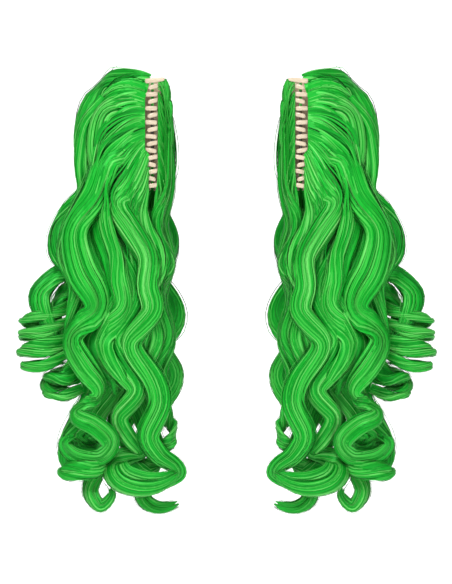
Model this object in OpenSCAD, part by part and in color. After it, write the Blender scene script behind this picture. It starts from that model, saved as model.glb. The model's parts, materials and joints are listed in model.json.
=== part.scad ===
// A pair of clip-on curly hair pigtails for costumes.
// Each pigtail is a two-jaw hair clip with curly locks sewn round both jaws.
// The frame: +Z up, teeth towards -Y, the left clip's round tunnel on the Z axis.

/* [Clip] */
// Radius of the round tunnel between the closed jaws, which grips a gathered bunch of hair
grip_r = 10; // [9.8:0.1:10.2]
// Wall thickness of the moulded jaws
jaw_wall = 2.4; // [2.2:0.1:2.6]
// Height of each clip, along its hinge
clip_len = 112; // [112:1:116]
// Width of one tooth
tooth_w = 5; // [4:0.1:5.4]
// Reach of the thumb levers behind the hinge
lever_reach = 30; // [24:1:32]
// How far the moving jaws are opened, in degrees
opening = 0; // [0:1:40]

/* [Hair] */
// Distance between the two clips
pair_gap = 149; // [140:1:240]
// Main colour of the hair
hair_colour = "limegreen"; // ["limegreen", "hotpink", "royalblue", "saddlebrown"]

/* [Hidden] */
$fn = 64;

// Hinge
hinge_outer = 3.6;
hinge_y = grip_r + jaw_wall + hinge_outer;
pin_r = 1.5;
pin_play = 0.06;
pin_head_r = 2.6;
pin_head_h = 1.2;
knuckle_h = 6;
knuckle_gap = 0.4;
knuckle_z = 18.2;
pin_half = knuckle_z + 1.5 * knuckle_h + knuckle_gap + 0.3;
jaw_edge = 98;
plate_end = 218;
moving_plate_end = 221;

// Teeth: eight on each jaw, the two rows interleaved
teeth = 8;
tooth_pitch = 14;
reach_top = 7.2;
reach_bottom = 4;
moving_reach_top = 3;
moving_reach_bottom = 6.4;
first_tooth_w = 6;
first_tooth_tip = 13;
first_tooth_z = clip_len / 2 - first_tooth_w / 2 - 0.2;
second_tooth = first_tooth_z - tooth_pitch;

// Thumb levers and their gussets
lever_angle = 25;
lever_half_z = 14;
lever_wall = 2.4;
lever_root = 4.8;
gusset = [[-4.6, 10.2], [-4.6, 19.2], [-3.5, 20.8], [-5.6, 24], [-7.5, 20], [-7.5, 9.4]];

// Torsion spring round the pin
wire_r = 0.5;
coil_r = 3;
coil_half = 12;
coil_turns = 10;
coil_step = 30;
spring_leg = 18;
leg_clear = 2.5;

// Ribbon, weft tracks and stitches, counted outwards from the jaw
cover_gap = 0.1;
ribbon_wall = 0.6;
ribbon_r = grip_r + jaw_wall + cover_gap;
ribbon_edges = [127, 217];
ribbon_len = 108;
track_r = ribbon_r + ribbon_wall + cover_gap;
track_wall = 1.6;
track_w = 4;
track_len = 110;
thread_r = 0.45;
post_r = 0.38;
hole_r = 0.5;
stitch_reach = track_w / 2 + 0.7;
stitch_r = track_r + track_wall + thread_r + 0.05;
FIXED_TRACKS = [205, 172, 140];
MOVING_TRACKS = [208, 170, 132];
STITCHES = [[49, 20, -9, -42], [33, 5.5, -23.5, -51], [27, 0.5, -26.5, -52]];
MOVING_STITCHES = [[44, 12, -16, -44], [46, 14, -14, -42], [34, 14, -24, -50]];

// Locks: [name, track, height of the root, thickness, rides the moving jaw, route].
// A route's points are [x, y, z, width], from just outside the track to the tip.
root_w = 18;
moving_root_w = 12;
lock_sides = 8;
ring_steps = 2;
LOCKS = [
    ["long_front_lock", 205, 6, 9, false, [
        [-29, -15, 0, 27], [-46, -23, -30, 26], [-58, -25, -62, 24], [-77, -26, -98, 24],
        [-70, -26, -136, 24], [-54, -26, -172, 22], [-78, -27, -204, 22], [-66, -27, -232, 20],
        [-51, -26, -256, 18], [-74, -26, -278, 14], [-56, -26, -289, 15], [-41, -23, -305, 15],
        [-51, -17, -321, 15], [-74, -13, -321, 15], [-87, -9, -308, 13], [-76, -6, -297, 12]]],
    ["crown_lock", 205, 34, 9, false, [
        [-36, -11, 39, 26], [-54, -11, 14, 24], [-58, -10, -18, 22], [-51, -8, -50, 22],
        [-53, -9, -86, 22], [-38, -12, -124, 22], [-22, -14, -160, 21], [-41, -15, -202, 20],
        [-32, -15, -230, 20], [-14, -16, -256, 16], [-32, -12, -282, 16], [-22, -8, -304, 14],
        [-10, -2, -318, 11], [-26, 4, -326, 12], [-43, -3, -334, 12], [-28, -15, -345, 14],
        [-8, -20, -350, 15], [12, -20, -346, 15]]],
    ["cheek_lock", 205, -24, 9, false, [
        [-25, -17, -40, 22], [-35, -20, -72, 20], [-18, -21, -100, 20], [-4, -21, -124, 18],
        [-5, -21, -152, 18], [1, -22, -178, 18], [-20, -22, -210, 18], [2, -23, -244, 18],
        [8, -23, -269, 18], [-4, -22, -300, 17], [8, -19, -321, 14], [22, -11, -330, 12],
        [26, -3, -341, 12], [6, 3, -352, 13], [-18, 3, -362, 13]]],
    ["top_crown_lock", 172, 46, 10, false, [
        [-26, 4, 54, 19], [-45, 5, 47, 24], [-59, 5, 24, 24], [-66, 5, -2, 22],
        [-64, 5, -32, 20], [-65, 5, -54, 20], [-80, 5, -76, 22], [-92, 4, -96, 22],
        [-90, 3, -116, 20], [-84, 2, -134, 15], [-98, 1, -145, 16], [-111, -1, -163, 20],
        [-104, -3, -188, 16], [-95, -2, -204, 14], [-107, 1, -214, 26], [-128, 4, -212, 44]]],
    ["temple_lock", 172, 20, 10, false, [
        [-32, 10, 20, 22], [-50, 17, -8, 22], [-56, 19, -45, 20], [-68, 20, -80, 20],
        [-74, 20, -112, 20], [-60, 19, -145, 20], [-70, 17, -178, 20], [-58, 15, -208, 20],
        [-74, 12, -236, 18], [-97, 9, -243, 14], [-106, 4, -254, 10], [-86, 1, -261, 12]]],
    ["under_lock", 172, -9, 10, false, [
        [-30, 4, -16, 20], [-42, 4, -54, 20], [-34, 5, -92, 20], [-36, 4, -128, 20],
        [-48, 3, -162, 20], [-34, 3, -196, 20], [-26, 3, -226, 20], [-42, 5, -256, 20],
        [-58, 10, -290, 20], [-48, 15, -320, 16], [-58, 13, -342, 13], [-62, 11, -360, 12],
        [-51, 8, -373, 11], [-40, 5, -361, 10], [-46, 3, -349, 9]]],
    ["nape_lock", 172, -38, 10, false, [
        [-26, 9, -56, 15], [-13, 15, -86, 18], [-22, 18, -118, 18], [-10, 18, -150, 18],
        [-22, 18, -185, 18], [-8, 18, -220, 18], [-20, 18, -255, 18], [-8, 17, -290, 18],
        [4, 16, -320, 16], [-8, 14, -348, 13], [-10, 11, -365, 12], [2, 8, -374, 12],
        [18, 5, -373, 12], [33, 3, -365, 13]]],
    ["back_crown_lock", 140, 40, 10, false, [
        [-21, 22, 50, 18], [-14, 43, 48, 20], [-1, 56, 34, 22], [9, 61, 6, 22],
        [12, 61, -32, 22], [2, 61, -68, 22], [16, 61, -105, 22], [2, 60, -145, 22],
        [18, 60, -180, 22], [4, 58, -215, 20], [18, 56, -245, 20], [6, 52, -280, 18],
        [14, 46, -305, 14]]],
    ["back_middle_lock", 140, 14, 10, false, [
        [-25, 25, 18, 20], [-32, 44, 4, 22], [-30, 57, -25, 22], [-22, 62, -60, 22],
        [-34, 62, -95, 22], [-20, 62, -130, 22], [-36, 60, -170, 22], [-20, 58, -205, 22],
        [-36, 56, -240, 20], [-22, 52, -275, 18], [-32, 46, -310, 14]]],
    ["back_side_lock", 140, -13, 10, false, [
        [-30, 22, -18, 20], [-52, 34, -42, 22], [-64, 40, -80, 22], [-50, 42, -115, 22],
        [-66, 42, -150, 22], [-52, 40, -185, 22], [-70, 38, -220, 22], [-60, 34, -255, 20],
        [-72, 30, -287, 18], [-89, 27, -312, 15], [-87, 25, -333, 14], [-66, 24, -341, 14]]],
    ["back_nape_lock", 140, -40, 10, false, [
        [-24, 24, -52, 18], [-36, 36, -85, 20], [-26, 40, -115, 20], [-38, 42, -150, 20],
        [-26, 42, -185, 20], [-40, 40, -220, 20], [-26, 38, -255, 20], [-38, 36, -290, 18],
        [-24, 30, -325, 14]]],
    ["fringe_lock", 208, 30, 7, true, [
        [16.8, -9.2, 24, 7], [16.2, -10.4, 8, 5], [16, -10.2, -20, 5], [15, -10, -54, 5], [4, -7, -80, 10],
        [6, -7, -102, 10], [15, -6, -126, 12], [6, -6, -150, 12], [7, -6, -175, 12],
        [15, -6, -203, 12], [4, -6, -232, 12], [7, -6, -252, 9]]],
    ["side_lock", 170, 32, 9, true, [
        [19, 2.5, 24, 6], [18.6, 2, 8, 5], [18.4, 2, -20, 5], [18, 4, -52, 5], [7, 7, -84, 10],
        [9, 7, -106, 12], [18, 7, -130, 12], [8, 7, -155, 12], [10, 7, -180, 12],
        [18, 7, -206, 12], [8, 7, -238, 12], [12, 7, -266, 12], [6, 7, -296, 9]]],
    ["rear_side_lock", 132, -4, 11, true, [
        [15, 17, -10, 8], [17, 22, -26, 9], [17, 26, -55, 10], [10, 26, -90, 12], [17, 26, -125, 12],
        [8, 26, -165, 12], [17, 26, -200, 12], [9, 25, -235, 12], [14, 23, -262, 9]]]];

CLIP_PIECES = ["fixed_jaw", "moving_jaw", "hinge_pin", "spring", "fixed_ribbon", "moving_ribbon",
    "fixed_wefts", "moving_wefts", "fixed_stitches", "moving_stitches"];

// Small helpers

function xyz(p) = [p[0], p[1], p[2]];
function unit(v) = v / norm(v);
function smoothstep(t) = let (u = max(0, min(1, t))) u * u * (3 - 2 * u);

// The slope of a route at point i, for a smooth curve through all its points.
// A route leaves its root straight out from the track.
function slope(route, i, out) = i == 0 ? norm(xyz(route[1]) - xyz(route[0])) * out
    : i == len(route) - 1 ? route[i] - route[i - 1]
    : (route[i + 1] - route[i - 1]) / 2;

function between(a, b, slope_a, slope_b, t) =
    (2 * pow(t, 3) - 3 * t * t + 1) * a + (pow(t, 3) - 2 * t * t + t) * slope_a
    + (3 * t * t - 2 * pow(t, 3)) * b + (pow(t, 3) - t * t) * slope_b;

function smooth_route(route, out, steps) = concat(
    [for (i = [0 : len(route) - 2]) for (k = [0 : steps - 1])
        between(route[i], route[i + 1], slope(route, i, out), slope(route, i + 1, out), k / steps)],
    [route[len(route) - 1]]);

function heading(curve, i) =
    unit(xyz(curve[min(i + 1, len(curve) - 1)]) - xyz(curve[max(i - 1, 0)]));

// One flattened ring of a lock: its width lies across the curve as seen from the front
function lock_ring(curve, i, out, thickness) = let (
        t = i / (len(curve) - 1),
        ahead = i == 0 ? xyz(out) : heading(curve, i),
        across = unit([-ahead.z, 0, ahead.x]),
        deep = cross(across, ahead),
        half_w = curve[i][3] / 2,
        half_t = thickness / 2 * (0.3 + 0.7 * smoothstep(t / 0.12))
            * (1 - 0.35 * smoothstep((t - 0.86) / 0.14)))
    [for (k = [0 : lock_sides - 1]) let (a = 360 * k / lock_sides)
        xyz(curve[i]) + across * half_w * cos(a) + deep * half_t * sin(a)];

// A closed tube through equal rings, as triangles
module swept_tube(rings) {
    n = len(rings[0]);
    last = len(rings) - 1;
    points = [for (ring = rings) for (p = ring) p];
    sides = [for (i = [0 : last - 1]) for (k = [0 : n - 1]) let (
            a = i * n + k,
            b = i * n + (k + 1) % n,
            c = b + n,
            d = a + n)
        each [[a, b, c], [a, c, d]]];
    start_cap = [for (k = [n - 1 : -1 : 0]) k];
    end_cap = [for (k = [0 : n - 1]) last * n + k];
    polyhedron(points, concat(sides, [start_cap, end_cap]));
}

module sector(r_in, r_out, from, to, height) {
    rotate([0, 0, from])
        rotate_extrude(angle = to - from)
            translate([r_in, -height / 2])
                square([r_out - r_in, height]);
}

// Places something at an angle round the tunnel, at a radius, a height and a sideways shift
module at_track(angle, r, z, sideways = 0) {
    rotate([0, 0, angle])
        translate([r, sideways, z])
            children();
}

module radial_rod(r, length) {
    rotate([0, 90, 0])
        cylinder(r = r, h = length, $fn = 24);
}

// The right jaw of a clip is worked out as a left one and mirrored
module moved() {
    translate([0, hinge_y, 0])
        rotate([0, 0, opening])
            translate([0, -hinge_y, 0])
                mirror([1, 0, 0])
                    children();
}

module pigtail_place(side) {
    if (side == "left") children();
    else translate([pair_gap, 0, 0]) mirror([1, 0, 0]) children();
}

// Clip pieces

module knuckles(heights) {
    for (z = heights)
        translate([0, 0, z - knuckle_h / 2]) {
            translate([0, hinge_y, 0])
                cylinder(r = hinge_outer, h = knuckle_h);
            translate([-hinge_outer, grip_r + 0.5, 0])
                cube([hinge_outer - 1.7, hinge_y - grip_r - 0.5, knuckle_h]);
        }
}

module pin_bores(heights) {
    for (z = heights)
        translate([0, hinge_y, z - knuckle_h / 2 - 1])
            cylinder(r = pin_r + pin_play, h = knuckle_h + 2);
}

module thumb_lever() {
    translate([0, 0, -lever_half_z])
        linear_extrude(2 * lever_half_z)
            polygon(gusset);
    intersection() {
        translate([0, hinge_y, 0])
            rotate([0, 0, 90 + lever_angle])
                translate([lever_root, 0, -lever_half_z])
                    cube([lever_reach - lever_root, lever_wall, 2 * lever_half_z]);
        // Rounded corners at the thumb end
        translate([0, hinge_y, 0])
            rotate([0, 0, 90 + lever_angle])
                rotate([-90, 0, 0])
                    linear_extrude(3 * lever_wall, center = true) {
                        translate([lever_reach - lever_half_z, 0])
                            circle(r = lever_half_z);
                        translate([0, -lever_half_z])
                            square([lever_reach - lever_half_z, 2 * lever_half_z]);
                    }
    }
}

// Teeth carry the plate's curve on round the front, towards the other jaw
module tooth_row(from, first_z, reach_first, reach_last, count) {
    for (i = [0 : count - 1]) {
        reach = reach_first + (reach_last - reach_first) * i / (count - 1);
        translate([0, 0, first_z - i * tooth_pitch])
            intersection() {
                sector(grip_r, grip_r + jaw_wall, from - 3, 325, tooth_w);
                finger(reach, tooth_w * 0.58);
            }
    }
}

// A tooth's outline seen from the front: straight, with a round tip
module finger(reach, tip_r) {
    rotate([90, 0, 0])
        linear_extrude(2 * grip_r) {
            translate([reach - tip_r, 0])
                circle(r = tip_r);
            translate([-2 * grip_r, -tip_r])
                square([2 * grip_r + reach - tip_r, 2 * tip_r]);
        }
}

// The top tooth is broader, and runs on past the other jaw as a tapered finger
module first_tooth(z) {
    translate([0, 0, z])
        sector(grip_r, grip_r + jaw_wall, plate_end - 3, 278, first_tooth_w);
    translate([0, -grip_r - 0.1, z])
        rotate([90, 0, 0])
            linear_extrude(jaw_wall - 0.3)
                polygon([[-2.5, -2.7], [6, -1.9], [first_tooth_tip - 1.6, -0.9],
                    [first_tooth_tip, 0.3], [first_tooth_tip, 1.6],
                    [first_tooth_tip - 1.2, 2.7], [-2.5, 2.7]]);
}

module stitch_holes(tracks, heights) {
    for (i = [0 : len(tracks) - 1])
        for (z = heights[i])
            for (side = [-1, 1])
                at_track(tracks[i], grip_r - 2, z, side * stitch_reach)
                    radial_rod(hole_r, jaw_wall + ribbon_wall + 4);
}

module fixed_jaw() {
    heights = [knuckle_z, -knuckle_z - knuckle_h - knuckle_gap];
    color("bisque")
        difference() {
            union() {
                sector(grip_r, grip_r + jaw_wall, jaw_edge, plate_end, clip_len);
                tooth_row(plate_end, second_tooth, reach_top, reach_bottom, teeth - 1);
                first_tooth(first_tooth_z);
                knuckles(heights);
                thumb_lever();
            }
            pin_bores(heights);
            stitch_holes(FIXED_TRACKS, STITCHES);
        }
}

module moving_jaw() {
    heights = [knuckle_z + knuckle_h + knuckle_gap, -knuckle_z];
    color("bisque")
        moved()
            difference() {
                union() {
                    sector(grip_r, grip_r + jaw_wall, jaw_edge, moving_plate_end, clip_len);
                    tooth_row(moving_plate_end, second_tooth + tooth_pitch / 2,
                        moving_reach_top, moving_reach_bottom, teeth);
                    knuckles(heights);
                    thumb_lever();
                }
                pin_bores(heights);
                stitch_holes(MOVING_TRACKS, MOVING_STITCHES);
            }
}

module hinge_pin() {
    color("silver")
        translate([0, hinge_y, 0]) {
            translate([0, 0, -pin_half])
                cylinder(r = pin_r, h = 2 * pin_half);
            for (z = [-pin_half - pin_head_h, pin_half])
                translate([0, 0, z])
                    cylinder(r = pin_head_r, h = pin_head_h);
        }
}

// The coil winds from the fixed lever at the bottom to the moving lever at the top.
// A leg lies along the inner face of each lever.
function spring_path() = let (
        low = 90 + lever_angle - leg_clear,
        high = 90 - lever_angle + leg_clear,
        sweep = 360 * coil_turns + high - low,
        steps = ceil(sweep / coil_step))
    concat(
        [[spring_leg * cos(low), spring_leg * sin(low), -coil_half]],
        [for (k = [0 : steps]) let (a = low - 90 + (sweep + 180) * k / steps)
            [coil_r * cos(a), coil_r * sin(a), -coil_half + 2 * coil_half * k / steps]],
        [[spring_leg * cos(high), spring_leg * sin(high), coil_half]]);

module spring() {
    path = spring_path();
    rings = [for (i = [0 : len(path) - 1]) let (
            ahead = heading(path, i),
            across = unit(cross(ahead, [0, 0, 1])),
            up = cross(across, ahead))
        [for (k = [0 : 5]) path[i] + wire_r * (across * cos(60 * k) + up * sin(60 * k))]];
    color("gray")
        translate([0, hinge_y, 0])
            swept_tube(rings);
}

module ribbon(tracks, heights) {
    difference() {
        sector(ribbon_r, ribbon_r + ribbon_wall, ribbon_edges[0], ribbon_edges[1], ribbon_len);
        stitch_holes(tracks, heights);
    }
}

module wefts(tracks) {
    for (angle = tracks)
        at_track(angle, track_r, 0)
            translate([0, -track_w / 2, -track_len / 2])
                cube([track_wall, track_w, track_len]);
}

// A stitch goes down through the jaw on both sides of its track
module stitches(tracks, heights) {
    for (i = [0 : len(tracks) - 1])
        for (z = heights[i]) {
            for (side = [-1, 1])
                at_track(tracks[i], grip_r + 0.4, z, side * stitch_reach)
                    radial_rod(post_r, stitch_r - grip_r - 0.4);
            at_track(tracks[i], stitch_r, z, -stitch_reach - thread_r)
                rotate([-90, 0, 0])
                    cylinder(r = thread_r, h = 2 * (stitch_reach + thread_r), $fn = 24);
        }
}

module lock_solid(lock) {
    out = [(lock[4] ? -1 : 1) * cos(lock[1]), sin(lock[1]), 0, 0];
    root = (track_r + track_wall / 2) * out + [0, 0, lock[2], lock[4] ? moving_root_w : root_w];
    curve = smooth_route(concat([root], lock[5]), out, ring_steps);
    color(hair_colour)
        swept_tube([for (i = [0 : len(curve) - 1]) lock_ring(curve, i, out, lock[3])]);
}

module lock(lock) {
    if (lock[4])
        translate([0, hinge_y, 0])
            rotate([0, 0, opening])
                translate([0, -hinge_y, 0])
                    lock_solid(lock);
    else
        lock_solid(lock);
}

module fixed_ribbon() {
    color("peru")
        ribbon(FIXED_TRACKS, STITCHES);
}

module moving_ribbon() {
    color("peru")
        moved()
            ribbon(MOVING_TRACKS, MOVING_STITCHES);
}

module fixed_wefts() {
    color("darkgreen")
        wefts(FIXED_TRACKS);
}

module moving_wefts() {
    color("darkgreen")
        moved()
            wefts(MOVING_TRACKS);
}

module fixed_stitches() {
    color("tan")
        stitches(FIXED_TRACKS, STITCHES);
}

module moving_stitches() {
    color("tan")
        moved()
            stitches(MOVING_TRACKS, MOVING_STITCHES);
}

for (side = ["left", "right"]) {
    pigtail_place(side) fixed_jaw();
    pigtail_place(side) moving_jaw();
    pigtail_place(side) hinge_pin();
    pigtail_place(side) spring();
    pigtail_place(side) fixed_ribbon();
    pigtail_place(side) moving_ribbon();
    pigtail_place(side) fixed_wefts();
    pigtail_place(side) moving_wefts();
    pigtail_place(side) fixed_stitches();
    pigtail_place(side) moving_stitches();
    for (item = LOCKS)
        pigtail_place(side) lock(item);
}
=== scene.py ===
"""Dresses a pair of clip-on curly pigtails: hair locks, moulded clips, ribbon, thread and a stage.

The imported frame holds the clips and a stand-in solid for every lock. Each lock is grown here as
a bundle of flattened strands along the route of its solid.
Lengths are in metres, and in millimetres in the tables and in names that end in _MM.
"""

import json
import math

import bmesh
import bpy
import numpy as np
from bpy.props import FloatProperty, FloatVectorProperty, IntProperty, PointerProperty
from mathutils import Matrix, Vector


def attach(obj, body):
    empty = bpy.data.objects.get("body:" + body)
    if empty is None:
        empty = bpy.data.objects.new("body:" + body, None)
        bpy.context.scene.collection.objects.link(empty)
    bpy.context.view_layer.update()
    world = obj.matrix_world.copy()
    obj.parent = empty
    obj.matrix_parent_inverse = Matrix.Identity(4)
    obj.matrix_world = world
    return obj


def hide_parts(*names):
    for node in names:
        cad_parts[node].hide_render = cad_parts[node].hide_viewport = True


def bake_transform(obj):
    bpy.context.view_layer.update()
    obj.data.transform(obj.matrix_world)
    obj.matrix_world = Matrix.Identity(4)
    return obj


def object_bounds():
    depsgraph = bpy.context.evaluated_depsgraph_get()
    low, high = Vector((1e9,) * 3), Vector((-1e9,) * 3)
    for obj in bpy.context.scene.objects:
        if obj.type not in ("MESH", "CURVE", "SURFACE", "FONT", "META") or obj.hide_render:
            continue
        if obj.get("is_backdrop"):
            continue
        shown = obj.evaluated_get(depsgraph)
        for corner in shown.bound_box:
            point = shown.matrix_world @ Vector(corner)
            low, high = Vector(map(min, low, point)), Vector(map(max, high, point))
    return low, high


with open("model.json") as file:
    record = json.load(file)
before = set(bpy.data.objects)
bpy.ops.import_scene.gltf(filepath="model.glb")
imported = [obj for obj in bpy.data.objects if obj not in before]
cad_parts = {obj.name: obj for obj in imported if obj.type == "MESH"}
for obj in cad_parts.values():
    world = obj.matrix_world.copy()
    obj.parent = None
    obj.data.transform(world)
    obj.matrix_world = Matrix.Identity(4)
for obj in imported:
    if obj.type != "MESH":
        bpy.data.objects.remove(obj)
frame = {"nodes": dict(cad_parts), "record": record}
CAD_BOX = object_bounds()

bl_info = {
    "name": "Costume Pigtails",
    "version": (1, 0, 0),
    "blender": (4, 5, 0),
    "location": "View3D > Sidebar > Pigtails",
    "description": "Grows curly hair locks on a pair of hair clips and finishes the clips",
    "category": "Object",
}

MM = 0.001
FORWARD = np.array([0.0, -1.0, 0.0])
UP = np.array([0.0, 0.0, 1.0])
SIDES = ("left", "right")
PAIR_GAP = frame["record"]["mounts"][1]["pos_m"][0]

# Clips. Teeth of the fixed and the moving jaw: where the plate ends round the tunnel in degrees,
# the first and last tooth's height, reach across the tunnel's middle and lean, and the count
TEETH = {
    False: (218, 38.8, -45.2, 7.2, 4.2, 0.04, -0.24, 7),
    True: (221, 45.8, -52.2, 3.4, 6.4, -0.24, -0.16, 8),
}
# The fixed jaw's topmost tooth: height, reach, lean and half its own height
TOP_TOOTH = (52.6, 13.0, 0.10, 2.8)
# A tooth's distance from the tunnel's axis, half its thickness and height, and its round tip
TOOTH_R_MM = 11.3
TOOTH_THICK_MM = 1.4
TOOTH_TALL_MM = 2.3
TOOTH_TIP_MM = 2.9
# A tooth starts this many degrees inside the plate, and has this many rings and sides
TOOTH_OVERLAP = 6
TOOTH_RINGS = 30
TOOTH_SIDES = 16
# The power of a tooth's section: 2 / 2 is an ellipse, and less is squarer
TOOTH_SQUARE = 2 / 2.6
# Degrees between the plate's end and the cut that takes off the frame's teeth
CUT_MARGIN = 0.15
# The jaws' edges further forward than this, and sharper than this, are rounded
FRONT_EDGE_Y = -0.0058
ROUNDED_ANGLE = math.radians(40)
# Edges sharper than this stay sharp in the shading, and points closer than this are one
SHARP_ANGLE = math.radians(38)
MERGE_GAP = 0.00001

# Hair. Where the roots stand from the tunnel's axis, and how wide they are on each jaw
ROOT_R_MM = 13.4
ROOT_WIDTH_MM = {False: 26, True: 14}
# Curve points between two points of a route
RING_STEPS = 6
# A mesh ring follows the last one after this straight run, or this much bend in radians
RING_RUN = 0.013
RING_BEND = 0.45
# A lock's roll in a bend grows with the bend's curvature times this length
BEND_ROLL = 0.028
# Levels at which two neighbours' centre lines are mixed
BETWEEN_RINGS = 64
# A clump's distance from its lock's centre, its width and its depth, as shares of the lock's
CLUMP_REACH = 0.44
CLUMP_WIDTH = 0.64
CLUMP_DEPTH = 0.72
# A strand is a three-sided tube with one flat side out, and these are its corners' angles
STRAND_SIDES = 3
CORNER = (np.arange(STRAND_SIDES) + 0.5) * 2 * math.pi / STRAND_SIDES + math.pi / 2
# A strand's thickness, its turns round its clump from end to end and a fine strand's width
STRAND_THICK = 0.0005
STRAND_TURNS = 0.8
FINE_WIDTH = 0.0007
# Loose strands that stand off each clump
FLYAWAYS = 4
# A gap in the strands' numbers, so that no two groups share a streak
STRAND_GAP = 18
# A clump's core: its sides, its size against the clump and its tone, a painted shade that darkens
# the clump's inside
CORE_SIDES = 12
CORE_FILL = 0.88
CORE_SHADE_TONE = -0.6
# The combed layer: its layers' heights over the locks, strands in one layer, rings on a strand,
# its highest and lowest root, and the run of the locks that it follows, with rows along it
CAP_LIFTS = np.array([0.0004, 0.0022, 0.0038])
CAP_STRANDS = 115
CAP_RINGS = 32
CAP_ROOTS = (0.0595, -0.0535)
CAP_RUN = 0.23
CAP_ROWS = 80
# Strands off the moving jaw's front edge: their number, rings, x and y of the edge, highest and
# lowest root, and the run over which they join the front lock
FRINGE_STRANDS = 130
FRINGE_RINGS = 24
FRINGE_EDGE = (0.0064, -0.0118)
FRINGE_ROOTS = (0.051, -0.054)
FRINGE_JOIN = 0.024
# Strands over the moving jaw's outside: number for a track, rings, and their inner radius
COVER_STRANDS = 64
COVER_RINGS = 22
COVER_RADIUS = 0.0143
# The tracks' angles in degrees, and the least and most that a strand spreads from its track
COVER_SPREADS = ((-28, -8, 20), (10, -20, 20), (48, -20, 7))
# Waves that gather the combed layer's strands, in radians from one lock to the next
WISPS = 17
FINE_WISPS = 41

# Camera: the height that it shows at the clips' depth, and the level that it looks at
VIEW_HEIGHT = 0.584
VIEW_MIDDLE_Z = -0.158

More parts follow.
